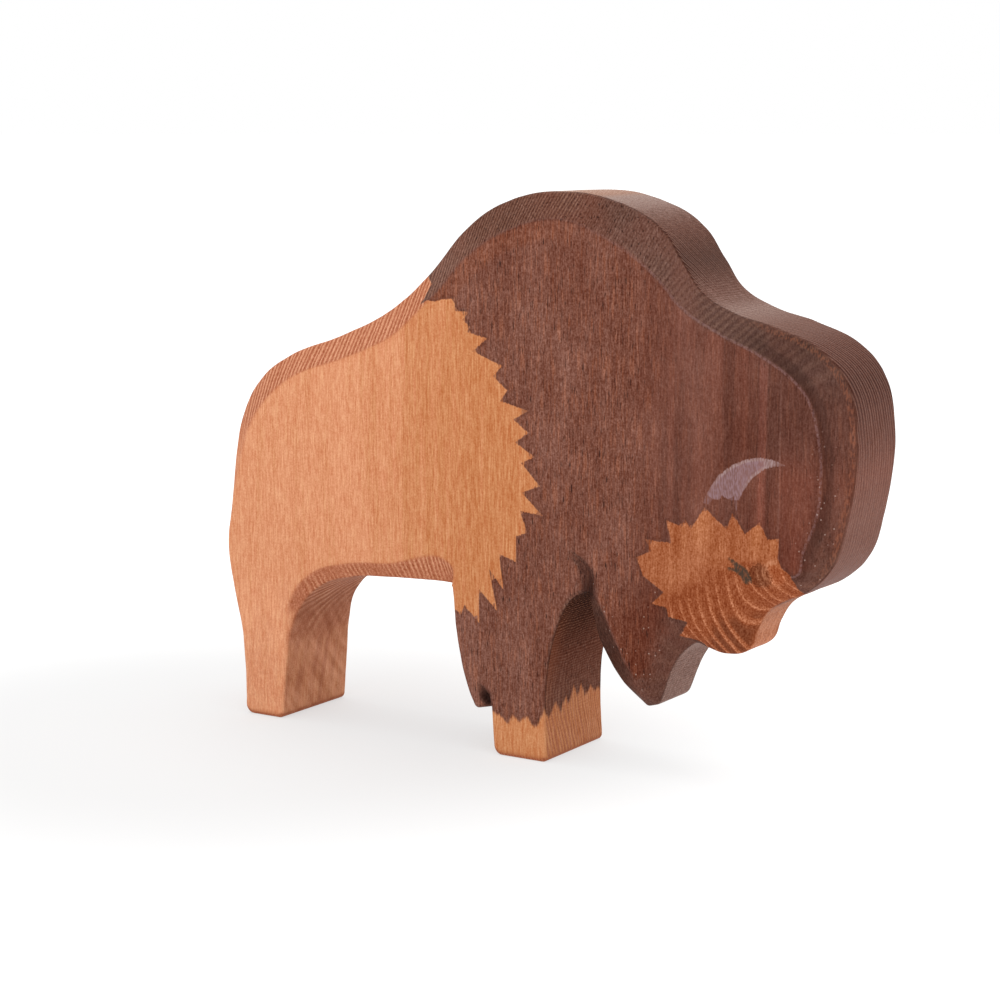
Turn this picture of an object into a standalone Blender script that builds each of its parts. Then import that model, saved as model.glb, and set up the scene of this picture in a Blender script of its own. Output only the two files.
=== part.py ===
"""Wooden wisent: a toy animal sawn from one thick board and chamfered by hand.

The board stands on its two feet in the XZ plane: head toward +X, feet on z = 0, one broad side
facing -Y and the other +Y. Both sides are shaped alike. The sawn outline is a closed smooth curve
through named landmarks. At each landmark the cut along the rim has its own width and depth, so the
body is a loft between the outline and the crease where the rim cut meets the flat side.
"""

import math
from collections import namedtuple

import bmesh
import bpy
from mathutils import Vector
from mathutils.geometry import interpolate_bezier

MM = 0.001

THICKNESS = 25.0        # board thickness, mm
EDGE = 0.6              # plain edges are only eased by sandpaper, mm
STEP = 1.5              # spacing of the sections along the outline, mm
CORNER_SECTIONS = 3     # sections round one eased corner
CORNER_PULL = 0.55      # how far a corner's handles reach toward its point
RIM_STATIONS = (0.0, 0.4, 0.75, 1.0)    # sections of the rim cut, from the crease to the outline

# Shape of a rim cut: where it bends, as shares of its width and of its depth
FLAT = (0.5, 0.5)       # knife-flat
EASED = (0.675, 0.325)  # softly rounded
DOMED = (0.5, 0.0)      # sanded down toward the muzzle and the beard's tip, up to a crisp edge

# Knife cuts on each flat side: name, tip (x, z), mouth (x, z) and depth at the mouth, mm
CARVINGS = [
    ("elbow_groove", (16.0, 47.8), (20.2, 37.4), 1.7),
    ("tuft_notch", (-6.6, 15.4), (-5.9, 9.4), 2.0),
]

WOOD_COLOUR = (0.30, 0.12, 0.06, 1.0)
WOOD_ROUGHNESS = 0.5

COLLECTION = "wooden_wisent"
NODE = "wooden_wisent"

Mark = namedtuple("Mark", "x z width depth swell corner crease")


def mark(x, z, width=EDGE, depth=EDGE, swell=EASED, corner=0.0, crease=None):
    """One landmark of the outline, in mm. The crease lies `width` inside it, unless it is given."""
    return Mark(x, z, width, depth, swell, corner, crease)


REAR_LEG = [
    mark(-74.5, 0.0, corner=2.0),
    mark(-63.5, 0.0, corner=1.2),
    mark(-62.5, 12.0),
    mark(-61.4, 20.5, width=1.2, depth=1.0),
    mark(-58.9, 27.0, width=2.4, depth=1.8, swell=FLAT),
    mark(-53.0, 32.6, width=3.0, depth=2.0, swell=FLAT),
    mark(-45.0, 35.3, width=3.0, depth=2.0, swell=FLAT),
]

BELLY = [
    mark(-33.5, 36.4, width=3.2, depth=2.2, swell=FLAT),
    mark(-16.6, 36.8, width=4.3, depth=2.5, swell=FLAT),
]

FORE_LEG = [
    mark(-15.9, 36.5, corner=0.3),
    mark(-14.1, 22.7),
    mark(-11.4, 13.3),
    mark(-9.6, 9.8, corner=0.8),
    mark(-5.5, 10.7, corner=0.3),
    mark(-4.7, 0.0, corner=1.8),
    mark(8.8, 0.0, corner=1.2),
    mark(8.3, 14.0),
    mark(9.3, 23.0),
    mark(11.3, 30.5),
    mark(13.1, 34.5),
    mark(15.4, 37.4),
    mark(18.9, 39.1, depth=1.0, corner=0.6, crease=(20.2, 40.2)),
]

BEARD = [
    mark(19.1, 33.2, depth=2.6, swell=FLAT, crease=(23.4, 34.6)),
    mark(19.8, 29.0, depth=3.5, swell=FLAT, crease=(25.3, 30.4)),
    mark(21.5, 25.2, depth=4.0, swell=FLAT, crease=(27.0, 27.4)),
    mark(25.7, 19.2, depth=4.6, swell=EASED, crease=(29.2, 24.0)),
    mark(30.7, 14.4, depth=6.0, swell=DOMED, corner=0.5, crease=(30.9, 22.4)),
    mark(33.6, 15.2, depth=6.0, swell=DOMED, corner=0.8, crease=(32.2, 23.8)),
    mark(37.8, 25.2, depth=5.2, swell=DOMED, crease=(32.6, 30.0)),
    mark(40.6, 28.6, depth=5.8, swell=DOMED, crease=(34.0, 34.5)),
    mark(42.3, 29.6, depth=6.4, swell=DOMED, crease=(35.3, 38.0)),
    mark(44.6, 28.8, depth=6.8, swell=DOMED, crease=(37.0, 41.0)),
]

MUZZLE = [
    mark(48.9, 27.9, depth=7.1, swell=DOMED, crease=(40.0, 44.5)),
    mark(54.2, 29.7, depth=7.1, swell=DOMED, crease=(45.0, 48.0)),
    mark(56.1, 34.0, depth=7.1, swell=DOMED, crease=(50.5, 49.8)),
    mark(58.5, 38.1, depth=6.5, swell=DOMED, crease=(55.5, 50.4)),
    mark(61.8, 40.3, depth=5.0, swell=DOMED, crease=(60.5, 49.8)),
    mark(69.6, 44.3, depth=3.2, swell=FLAT, crease=(66.2, 47.0)),
]

HEAD = [
    mark(74.4, 49.5, width=6.0, depth=3.0, swell=FLAT),
    mark(77.1, 58.0, width=5.5, depth=3.0, swell=FLAT),
    mark(78.8, 68.0, width=6.2, depth=3.0, swell=FLAT),
    mark(79.0, 76.5, width=7.1, depth=3.0, swell=FLAT),
    mark(76.8, 86.5, width=7.7, depth=3.0, swell=FLAT),
    mark(71.0, 92.9, width=7.5, depth=3.0, swell=FLAT),
    mark(61.0, 97.1, width=6.0, depth=3.0, swell=FLAT),
]

NECK_AND_HUMP = [
    mark(51.2, 99.8, width=4.5, depth=3.0, swell=FLAT),
    mark(44.2, 103.5, width=4.4, depth=3.0, swell=FLAT),
    mark(39.5, 109.6, width=5.6, depth=3.0, swell=FLAT),
    mark(34.8, 115.9, width=7.4, depth=3.0, swell=FLAT),
    mark(26.0, 120.9, width=7.7, depth=3.0, swell=FLAT),
    mark(11.0, 123.5, width=6.2, depth=3.0, swell=FLAT),
    mark(-4.0, 120.9, width=6.5, depth=3.0, swell=FLAT),
    mark(-14.0, 114.8, width=5.6, depth=3.0, swell=FLAT),
]

BACK = [
    mark(-23.0, 105.3, width=5.0, depth=3.0, swell=FLAT),
    mark(-34.0, 96.6, width=5.5, depth=3.0, swell=FLAT),
    mark(-48.0, 90.2, width=5.0, depth=3.0, swell=FLAT),
    mark(-62.0, 85.2, width=5.0, depth=3.0, swell=FLAT),
    mark(-71.0, 78.9, width=5.4, depth=3.0, swell=FLAT),
    mark(-75.6, 71.0, width=4.4, depth=2.6, swell=FLAT),
    mark(-77.2, 62.0, width=3.0, depth=1.6, swell=FLAT),
    mark(-77.9, 51.0, width=1.1, depth=0.9),
    mark(-79.1, 39.5),
    mark(-77.7, 30.5),
    mark(-75.2, 18.5),
    mark(-74.5, 6.0),
]

OUTLINE = REAR_LEG + BELLY + FORE_LEG + BEARD + MUZZLE + HEAD + NECK_AND_HUMP + BACK


def clear_scene():
    """Remove the scene's objects."""
    for obj in list(bpy.data.objects):
        bpy.data.objects.remove(obj, do_unlink=True)


def collection_named(name):
    """A new collection in the scene."""
    collection = bpy.data.collections.new(name)
    bpy.context.scene.collection.children.link(collection)
    return collection


def place_of(landmark):
    return Vector((landmark.x, landmark.z))


def crease_marks(marks):
    """The crease's landmarks: the outline's, each moved inward by the width of its rim cut."""
    moved = []
    for index, here in enumerate(marks):
        before = (place_of(here) - place_of(marks[index - 1])).normalized()
        after = (place_of(marks[(index + 1) % len(marks)]) - place_of(here)).normalized()
        along = (before + after).normalized()
        inward = Vector((-along.y, along.x)) * here.width / along.dot(before)
        x, z = here.crease or place_of(here) + inward
        moved.append(here._replace(x=x, z=z))
    return moved


def knots_of(marks):
    """Knots of the closed curve through the landmarks: (landmark, place, corner's side or "").

    An eased corner takes two knots, one on each side of its point.
    """
    knots = []
    for index, here in enumerate(marks):
        if not here.corner:
            knots.append((here, place_of(here), ""))
            continue
        for side, neighbour in (("entry", marks[index - 1]), ("exit", marks[(index + 1) % len(marks)])):
            away = (place_of(neighbour) - place_of(here)).normalized() * here.corner
            knots.append((here, place_of(here) + away, side))
    return knots


def smooth_loop(knots):
    """A closed Bezier curve through the knots, as one (start, handle, handle, end) for each span."""
    curve = bpy.data.curves.new("loop", "CURVE")
    curve.dimensions = "3D"
    spline = curve.splines.new("BEZIER")
    spline.bezier_points.add(len(knots) - 1)
    spline.use_cyclic_u = True
    for point, (landmark, place, side) in zip(spline.bezier_points, knots):
        point.co = (place.x, 0.0, place.y)
        point.handle_left_type = {"": "AUTO", "entry": "VECTOR", "exit": "FREE"}[side]
        point.handle_right_type = {"": "AUTO", "entry": "FREE", "exit": "VECTOR"}[side]
    for point, (landmark, place, side) in zip(spline.bezier_points, knots):
        pull = place.lerp(place_of(landmark), CORNER_PULL)
        if side == "entry":
            point.handle_right = (pull.x, 0.0, pull.y)
        elif side == "exit":
            point.handle_left = (pull.x, 0.0, pull.y)
    points = list(spline.bezier_points)
    spans = []
    for point, following in zip(points, points[1:] + points[:1]):
        spans.append([v.copy() for v in (point.co, point.handle_right, following.handle_left, following.co)])
    bpy.data.curves.remove(curve)
    return spans


def sections_along(marks):
    """Sections square to the board: (outline point, crease point, depth of the cut, swell)."""
    outline_knots = knots_of(marks)
    outline = smooth_loop(outline_knots)
    crease = smooth_loop(knots_of(crease_marks(marks)))
    sections = []
    for index, (outer, inner) in enumerate(zip(outline, crease)):
        here = outline_knots[index][0]
        following = outline_knots[(index + 1) % len(outline_knots)][0]
        length = max((outer[3] - outer[0]).length, (inner[3] - inner[0]).length)
        count = CORNER_SECTIONS if following is here else max(1, round(length / STEP))
        outer_points = interpolate_bezier(*outer, count + 1)
        inner_points = interpolate_bezier(*inner, count + 1)
        for number in range(count):
            share = number / count
            depth = here.depth + (following.depth - here.depth) * share
            swell = Vector(here.swell).lerp(Vector(following.swell), share)
            sections.append((outer_points[number], inner_points[number], depth, swell))
    return sections


def rim_point(section, station):
    """A point of the rim cut: its place in the board's plane, and its depth below the flat side."""
    outer, inner, depth, swell = section
    start = Vector((inner.x, inner.z, 0.0))
    end = Vector((outer.x, outer.z, depth))
    across, down = swell
    bend = start + Vector(((outer.x - inner.x) * across, (outer.z - inner.z) * across, depth * down))
    return start.lerp(bend, station).lerp(bend.lerp(end, station), station)


def board_mesh(sections):
    """The loft from one flat side's crease, over the two rim cuts and the sawn edge, to the other."""
    bm = bmesh.new()
    rings = []
    for side, stations in ((-1, RIM_STATIONS), (1, RIM_STATIONS[::-1])):
        for station in stations:
            ring = []
            for section in sections:
                x, z, depth = rim_point(section, station)
                y = side * (THICKNESS / 2 - depth)
                ring.append(bm.verts.new((x * MM, y * MM, z * MM)))
            rings.append(ring)
    for ring, following in zip(rings, rings[1:]):
        for index in range(len(ring)):
            bm.faces.new((ring[index - 1], ring[index], following[index], following[index - 1]))
    bm.faces.new(rings[0])
    bm.faces.new(rings[-1])
    bmesh.ops.recalc_face_normals(bm, faces=bm.faces[:])
    mesh = bpy.data.meshes.new(NODE)
    bm.to_mesh(mesh)
    bm.free()
    return mesh


def add_knife(name, tip, mouth, radius, side, collection):
    """A four-sided cone lying on one flat side: it carves a V that runs out at its tip."""
    run = Vector(tip) - Vector(mouth)
    middle = (Vector(tip) + Vector(mouth)) / 2
    bpy.ops.mesh.primitive_cone_add(
        vertices=4,
        radius1=radius * MM,
        radius2=0.0,
        depth=run.length * MM,
        location=(middle.x * MM, side * THICKNESS / 2 * MM, middle.y * MM),
        rotation=(0.0, math.atan2(run.x, run.y), 0.0),
    )
    knife = bpy.context.object
    knife.name = name
    knife.hide_render = True
    knife.display_type = "WIRE"
    for holder in list(knife.users_collection):
        holder.objects.unlink(knife)
    collection.objects.link(knife)
    return knife


def carve(board, knife):
    """Cut the knife's shape out of the board."""
    cut = board.modifiers.new(knife.name, "BOOLEAN")
    cut.operation = "DIFFERENCE"
    cut.solver = "EXACT"
    cut.object = knife


def wood_material():
    """Oiled brown wood."""
    material = bpy.data.materials.new("stained_wood")
    material.use_nodes = True
    shader = material.node_tree.nodes["Principled BSDF"]
    shader.inputs["Base Color"].default_value = WOOD_COLOUR
    shader.inputs["Roughness"].default_value = WOOD_ROUGHNESS
    shader.inputs["Metallic"].default_value = 0.0
    return material


def main():
    clear_scene()
    parts = collection_named(COLLECTION)
    cutters = collection_named("cutters")
    board = bpy.data.objects.new(NODE, board_mesh(sections_along(OUTLINE)))
    board.data.materials.append(wood_material())
    parts.objects.link(board)
    for side, side_name in ((-1, "near"), (1, "far")):
        for name, tip, mouth, radius in CARVINGS:
            carve(board, add_knife(name + "_" + side_name, tip, mouth, radius, side, cutters))


main()
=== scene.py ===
"""Wooden wisent: a toy animal sawn from one thick board, stained and oiled, on a studio floor.

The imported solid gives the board's thickness. The body built here follows the same sawn outline and
rim cut, and adds what the tools and the sandpaper leave: rounded arrises, unevenly cut edges and
saw marks. The wood is solid all through: its growth rings are upright shells round a heart
outside the board, so they show as lines on the end grain and as bands on the flat sides. The dark
stain stops at brushed zigzag borders, which lie on both sides alike.
"""

import math
from collections import namedtuple
from functools import partial, reduce
from types import SimpleNamespace

import bmesh
import bpy
import numpy as np
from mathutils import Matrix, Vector, noise
from mathutils.geometry import delaunay_2d_cdt, interpolate_bezier


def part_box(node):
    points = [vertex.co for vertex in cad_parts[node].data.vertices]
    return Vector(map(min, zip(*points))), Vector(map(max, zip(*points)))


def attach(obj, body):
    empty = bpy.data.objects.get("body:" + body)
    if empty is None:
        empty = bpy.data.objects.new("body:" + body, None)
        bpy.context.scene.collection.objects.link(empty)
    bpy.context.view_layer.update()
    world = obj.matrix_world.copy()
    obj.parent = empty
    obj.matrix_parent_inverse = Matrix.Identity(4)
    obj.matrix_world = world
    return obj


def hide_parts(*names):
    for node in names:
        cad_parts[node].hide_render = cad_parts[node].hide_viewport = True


bl_info = {
    "name": "Wooden Wisent",
    "version": (1, 0, 0),
    "blender": (4, 5, 0),
    "location": "3D View > Sidebar > Wisent",
    "description": "Builds a toy wisent sawn from one board, its stained wood and its studio",
    "category": "Add Mesh",
}

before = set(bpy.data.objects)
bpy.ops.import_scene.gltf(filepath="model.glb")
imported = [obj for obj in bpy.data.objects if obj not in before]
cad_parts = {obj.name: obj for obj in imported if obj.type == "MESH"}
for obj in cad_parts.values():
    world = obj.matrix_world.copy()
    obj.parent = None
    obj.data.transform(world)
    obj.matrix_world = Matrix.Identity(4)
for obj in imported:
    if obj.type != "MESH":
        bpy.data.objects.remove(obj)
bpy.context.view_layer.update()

MM = 0.001
NODE = "wooden_wisent"
BODY = "carved_wisent"

node_low, node_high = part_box(NODE)
THICKNESS_MM = (node_high.y - node_low.y) / MM
HALF_MM = THICKNESS_MM / 2

# Shape of a rim cut: where it bends, as shares of its width and of its depth
FLAT = (0.5, 0.5)       # knife-flat
EASED = (0.675, 0.325)  # softly rounded
DOMED = (0.5, 0.0)      # sanded down toward the muzzle and the beard's tip, up to a crisp edge
PLAIN = 0.6         # a plain edge, eased with sandpaper only, mm
RIM_DEPTH = 3.0     # usual depth of the rim cut, mm
CORNER_PULL = 0.55  # how far a corner's handles reach toward its point
CORNER_SECTIONS = 6
PLAINLY_SAWN = 0.3  # from here on the saw marks need the finer sections
HAND_SEED = 7       # fixes the hand's unevenness, so that each run carves the same body

Mark = namedtuple("Mark", "x z width depth swell corner crease sawn edge cut lined sheen")
Section = namedtuple("Section", "outer crease depth swell sawn edge cut lined sheen along")


def mark(
    x, z, width=PLAIN, depth=PLAIN, swell=EASED, corner=0.0, crease=None,
    sawn=0.0, edge=1.0, cut=1.0, lined=0.25, sheen=0.0,
):
    """A landmark of the outline, in mm, with its rim cut.

    `sawn` is how much of the saw marks is left, `edge` and `cut` how light the stain is there,
    with painted shade and light in them: darker on the insides of the legs, which the belly and
    the beard shade, and lighter on the muzzle's edge and the hump's top, which face the light.
    `lined` is how clearly the growth rings line the sawn edge and `sheen` how much painted sheen
    greys it: a painted reflection of the bright studio on an edge seen at a grazing angle.
    """
    return Mark(x, z, width, depth, swell, corner, crease, sawn, edge, cut, lined, sheen)


def bevel(x, z, width, **rest):
    """A landmark where the rim cut is flat and of the usual depth."""
    return mark(x, z, width, RIM_DEPTH, FLAT, **rest)


def dome(x, z, depth, crease, **rest):
    """A landmark where the rim cut is domed."""
    return mark(x, z, depth=depth, swell=DOMED, crease=crease, **rest)


# painted shade: `edge` below 1 darkens the rear leg's sawn inside, which the belly shades
REAR_LEG = [
    mark(-74.5, 0.0, corner=2.0),
    mark(-63.5, 0.0, corner=1.2, edge=0.92, lined=0.7),
    mark(-62.5, 12.0, edge=0.92, lined=0.6),
    mark(-61.4, 20.5, 1.2, 1.0, edge=0.9, lined=0.7),
    mark(-58.9, 27.0, 2.4, 1.8, FLAT, edge=0.86, lined=1.0),
    mark(-53.0, 32.6, 3.0, 2.0, FLAT, edge=0.9, lined=1.0),
    mark(-45.0, 35.3, 3.0, 2.0, FLAT),
]
BELLY = [
    mark(-33.5, 36.4, 3.2, 2.2, FLAT),
    mark(-16.6, 36.8, 4.3, 2.5, FLAT),
]
FORE_LEG = [
    mark(-15.9, 36.5, corner=0.3),
    mark(-14.1, 22.7),
    mark(-11.4, 13.3),
    mark(-9.6, 9.8, corner=0.8),
    mark(-5.5, 10.7, corner=0.3),
    mark(-4.7, 0.0, corner=1.8),
    mark(8.8, 0.0, corner=1.2, lined=1.0),
    mark(8.3, 14.0, sawn=0.4, lined=0.8),
    mark(9.3, 23.0, sawn=0.7, lined=0.15),
    # painted shade: `edge` falls to 0.58 up the fore leg's sawn inside, which the beard shades
    mark(11.3, 30.5, sawn=0.9, lined=0.2, edge=0.8),
    mark(13.1, 34.5, sawn=1.0, lined=0.3, edge=0.68),
    mark(15.4, 37.4, sawn=1.0, lined=0.3, edge=0.6),
    mark(18.9, 39.1, depth=1.0, corner=0.6, crease=(20.2, 40.2), sawn=1.0, edge=0.58),
]
BEARD = [
    mark(19.1, 33.2, depth=2.6, swell=FLAT, crease=(23.4, 34.6), sawn=0.8, edge=0.8, cut=0.8),
    mark(19.8, 29.0, depth=3.5, swell=FLAT, crease=(25.3, 30.4), sawn=0.5, cut=0.77),
    mark(21.5, 25.2, depth=4.0, swell=FLAT, crease=(27.0, 27.4), cut=0.76),
    mark(25.7, 19.2, depth=4.6, crease=(29.2, 24.0), cut=0.85),
    # painted reflection: `sheen` greys the beard's sawn edge, which faces the bright floor
    dome(30.7, 14.4, 6.0, (30.9, 22.4), corner=0.5, sheen=0.2),
    dome(33.6, 15.2, 6.0, (32.2, 23.8), corner=0.8, sawn=0.5, sheen=0.36),
    dome(37.8, 25.2, 5.2, (32.6, 30.0), sawn=0.8, sheen=0.3),
    dome(40.6, 28.6, 5.8, (34.0, 34.5), sawn=0.6, sheen=0.42),
    dome(42.3, 29.6, 6.4, (35.3, 38.0), sheen=0.42),
    dome(44.6, 28.8, 6.8, (37.0, 41.0), sheen=0.2, lined=0.0),
]
MUZZLE = [
    dome(48.9, 27.9, 7.1, (40.0, 44.5), lined=0.0),
    # painted light: `edge` above 1 and `sheen` make the muzzle's edge pale where it faces the bright
    # floor
    dome(54.2, 29.7, 7.1, (45.8, 48.0), lined=0.0, edge=1.14, sheen=0.1),
    dome(56.1, 34.0, 7.1, (52.5, 49.8), lined=0.0, edge=1.12, sheen=0.2),
    dome(58.5, 38.1, 6.5, (58.0, 50.4), lined=0.0, sheen=0.15),
    dome(61.8, 40.3, 5.0, (62.3, 49.4), lined=0.0, edge=0.76),
    mark(69.6, 44.3, depth=3.2, swell=FLAT, crease=(67.4, 47.4), lined=0.3),
]
HEAD = [
    # painted reflection: `sheen` greys a few of the head's edges a little
    bevel(74.4, 49.5, 6.0, lined=0.3, sheen=0.06, cut=0.95),
    bevel(77.1, 58.0, 5.5, lined=0.25, sheen=0.08, edge=1.05, cut=0.98),
    bevel(78.8, 68.0, 6.2, lined=0.3, edge=1.1),
    bevel(79.0, 76.5, 7.1, lined=0.5, edge=0.95),
    bevel(76.8, 86.5, 7.7, lined=1.0, edge=0.8, cut=0.9),
    bevel(71.0, 92.9, 7.5, lined=0.8, edge=0.88, sawn=0.4, cut=0.84),
    bevel(61.0, 97.1, 6.0, lined=0.5, sheen=0.15, sawn=0.7, cut=0.86),
]
NECK_AND_HUMP = [
    # painted reflection and light: `sheen` greys the top edges of the neck and hump, and `edge` 1.1
    # lightens the hump's top, which faces the lights above
    bevel(51.2, 99.8, 4.5, lined=0.2, sheen=0.5, sawn=1.0, cut=0.94),
    bevel(44.2, 103.5, 4.4, lined=0.3, sheen=0.2, sawn=0.8, cut=0.96),
    bevel(39.5, 109.6, 5.6, lined=1.0, edge=0.76, sawn=0.15),
    bevel(34.8, 115.9, 7.4, lined=0.8, edge=0.94, sawn=0.4),
    bevel(26.0, 120.9, 7.4, lined=0.3, sheen=0.55, sawn=1.0),
    bevel(11.0, 123.5, 5.5, lined=0.3, sheen=1.0, edge=1.1, sawn=1.0),
    bevel(-4.0, 120.9, 6.1, sheen=0.4, sawn=0.6, cut=0.96),
    bevel(-14.0, 114.8, 5.6, sheen=0.2, sawn=0.4),
]
BACK = [
    bevel(-23.0, 105.3, 5.0),
    bevel(-34.0, 96.6, 5.5),
    bevel(-48.0, 90.2, 5.0),
    bevel(-62.0, 85.2, 5.0),
    bevel(-71.0, 78.9, 5.4),
    mark(-75.6, 71.0, 4.4, 2.6, FLAT),
    mark(-77.2, 62.0, 3.0, 1.6, FLAT),
    mark(-77.9, 51.0, 1.1, 0.9),
    mark(-79.1, 39.5),
    mark(-77.7, 30.5),
    mark(-75.2, 18.5),
    mark(-74.5, 6.0),
]
OUTLINE = REAR_LEG + BELLY + FORE_LEG + BEARD + MUZZLE + HEAD + NECK_AND_HUMP + BACK

# Knife cuts on each flat side: points (x, z, half width, depth) along the cut, mm
ELBOW_GROOVE = (
    (14.2, 47.8, 0.4, 0.0), (15.4, 46.6, 0.9, 0.25), (17.6, 45.0, 1.3, 0.5), (18.9, 43.2, 1.6, 0.7),
    (19.3, 41.3, 1.8, 0.9), (19.2, 38.9, 1.9, 1.05),
)
TUFT_NOTCH = (
    (-8.8, 15.6, 0.4, 0.0), (-7.8, 14.2, 1.1, 0.7), (-6.9, 12.8, 1.5, 1.4), (-6.3, 11.7, 1.0, 1.3),
)
KNIFE_CUTS = (ELBOW_GROOVE, TUFT_NOTCH)

# Borders brushed with the stain, as (x, z) in mm: tips and roots of the teeth in turn
FLANK_BORDER = [
    (-24.6, 110.0), (-23.4, 104.4), (-21.6, 103.0), (-22.4, 101.4), (-23.0, 100.0), (-24.1, 98.4),
    (-22.0, 99.6),
    (-20.1, 99.3), (-18.0, 99.9), (-14.6, 100.1), (-14.6, 97.5), (-11.1, 97.4), (-12.6, 95.7),
    (-10.8, 94.2), (-11.4, 93.1), (-6.4, 91.9), (-10.0, 89.0), (-2.6, 86.2), (-4.7, 83.9),
    (-1.3, 81.0), (-2.9, 78.6), (4.0, 76.9), (0.5, 74.8), (4.1, 72.2), (0.9, 69.9),
    (5.7, 67.1), (2.5, 65.5), (7.0, 60.9), (2.6, 59.1), (7.8, 54.5), (2.1, 55.1),
    (3.8, 50.5), (1.1, 49.4), (1.1, 43.8), (-3.3, 45.1), (-2.2, 37.5), (-5.8, 41.4),
    (-3.9, 32.6), (-8.5, 36.7), (-8.5, 29.3), (-12.3, 32.7), (-13.4, 30.5), (-14.2, 31.6),
    (-18.0, 30.5),
]
FLANK_BEYOND = [(-18.0, -6.0), (-90.0, -6.0), (-90.0, 110.0)]
SNOUT_PATCH = [
    (37.9, 56.3), (41.6, 55.3), (42.2, 56.9), (43.7, 55.1), (46.8, 59.7), (51.9, 55.7),
    (53.2, 59.1), (56.1, 55.1), (59.4, 57.8), (61.2, 54.4), (63.7, 54.8), (63.5, 50.7),
    (64.5, 48.8), (66.5, 47.5), (67.2, 44.3), (70.0, 41.0), (60.0, 24.0), (48.0, 24.0),
    (44.0, 30.2), (39.6, 31.3), (42.1, 34.8), (38.3, 35.7), (37.8, 37.8), (34.6, 38.3),
    (37.5, 41.0), (32.5, 44.0), (30.9, 47.8), (34.4, 49.5), (33.0, 51.8), (39.1, 51.6),
]
HORN_CRESCENT = [
    (46.5, 60.7), (47.5, 63.2), (50.1, 66.9), (53.1, 69.1), (56.0, 70.4), (59.0, 71.0),
    (61.9, 70.8), (64.8, 69.8), (62.7, 69.5), (60.5, 68.9), (57.9, 67.0), (55.8, 64.3),
    (54.5, 61.8), (54.0, 59.7), (53.4, 62.6), (52.3, 61.9), (50.9, 62.6), (49.9, 61.6),
    (48.6, 61.6), (47.6, 60.6),
]
EYE_STROKE = [
    (52.1, 49.9), (53.0, 49.7), (54.1, 49.1), (55.8, 48.4), (56.8, 47.3), (57.3, 46.0),
    (57.2, 44.9), (56.7, 45.1), (56.3, 44.4), (55.5, 45.0), (55.1, 46.0), (54.1, 46.9),
    (53.2, 47.2), (52.2, 47.3), (52.2, 47.8), (53.8, 47.7), (53.5, 48.4), (52.9, 49.3),
]
# The fore foot's border unrolled: (distance round the foot, height), from the near side's rear corner
FOOT_NEAR = [
    (0.0, 9.8), (2.0, 8.6), (3.6, 7.5), (4.7, 9.9), (5.6, 8.9), (6.6, 8.1), (8.2, 10.1),
    (9.3, 8.4), (10.8, 7.5), (11.8, 9.8), (13.0, 12.6),
]
FOOT_FRONT = [
    (2.0, 9.2), (5.1, 12.8), (7.0, 9.6), (9.0, 13.2), (10.7, 10.6), (12.6, 15.4), (14.2, 11.9),
    (16.2, 15.0), (17.6, 11.0), (20.0, 13.4), (21.8, 11.2), (23.5, 12.8), (25.0, 10.2),
]
FOOT_REAR_X = -4.4
FOOT_FRONT_X = 8.6
FOOT_TOP = 20.0
FOOT_SEAM = 10.2  # the border's height where the unrolled foot closes

# Middles of the painted shade and of the pale ring beside the eye, mm
EYE_SHADE = (59.4, 0.0, 46.6)
RING = (62.9, 0.0, 47.2)

CHART_GAMMA = 2.2
BLACK = (0.12, 0.07, 0.06, 1.0)


def srgb(red, green, blue):
    """A colour as it is read off a chart, 0 to 255, in linear values."""
    shares = (reading / 255 for reading in (red, green, blue))
    return (*(s / 12.92 if s <= 0.04045 else ((s + 0.055) / 1.055) ** 2.4 for s in shares), 1.0)


def level(colour):
    """A linear colour as levels on a chart, 0 to 1."""
    return (*(value ** (1 / CHART_GAMMA) for value in colour[:3]), 1.0)


def settings_of(group):
    """Names of a property group's own settings."""
    return [name for name in group.bl_rna.properties.keys() if name not in ("rna_type", "name")]


def colour_property(name, description, default):
    return bpy.props.FloatVectorProperty(
        name=name, description=description, default=default, size=4, min=0.0, max=1.0,
        subtype="COLOR",
    )


def number_property(name, description, default, low, **rest):
    return bpy.props.FloatProperty(
        name=name, description=description, default=default, min=low, **rest
    )


def length_property(name, description, default_mm, low_mm, high_mm):
    return number_property(
        name, description, default_mm * MM, low_mm * MM, max=high_mm * MM, precision=5, unit="LENGTH"
    )


class WisentShape(bpy.types.PropertyGroup):
    """Sizes of the board and how its edges are worked."""

    thickness: length_property("Board Thickness", "Thickness of the board", THICKNESS_MM, 10, 60)
    step: length_property("Section Step", "Spacing of the sections along the outline", 0.6, 0.3, 3)
    fine_step: length_property("Sawn Section Step", "Spacing where saw marks are left", 0.16, 0.08, 2)
    crease: length_property("Crease Rounding", "Reach of the rounding at the crease", 0.6, 0.05, 2)
    arris: length_property("Arris Rounding", "Reach of the rounding at the outer edge", 0.5, 0.1, 3)
    grid: length_property("Side Grid", "Spacing of points on the flat sides", 1.1, 0.5, 5)
    carving_grid: length_property("Carving Grid", "Spacing of points round a knife cut", 0.3, 0.1, 2)
    unevenness: length_property("Unevenness", "How far hand sanding wanders at the rim", 0.09, 0, 1)
    saw_mark_depth: length_property("Saw Mark Depth", "Depth of the marks of the saw", 0.05, 0, 0.5)
    saw_mark_spacing: length_property("Saw Mark Spacing", "Distance between saw marks", 0.64, 0.3, 4)


class WisentWood(bpy.types.PropertyGroup):
    """The board's growth rings and its surface."""

    heart_x: length_property("Heart X", "The log's heart along the body", 90.0, -300, 300)
    heart_y: length_property("Heart Y", "The log's heart in front of the near side", -41.0, -300, 300)
    heart_lean: number_property(
        "Heart Lean", "How far the heart leans from the upright", 0.12, -1.0, max=1.0
    )
    ring_spacing: length_property("Ring Spacing", "Width of one year's growth", 1.15, 0.3, 10)
    relief: length_property("Relief", "Height of the fibres and rings under the finger", 0.05, 0, 0.5)


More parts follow.
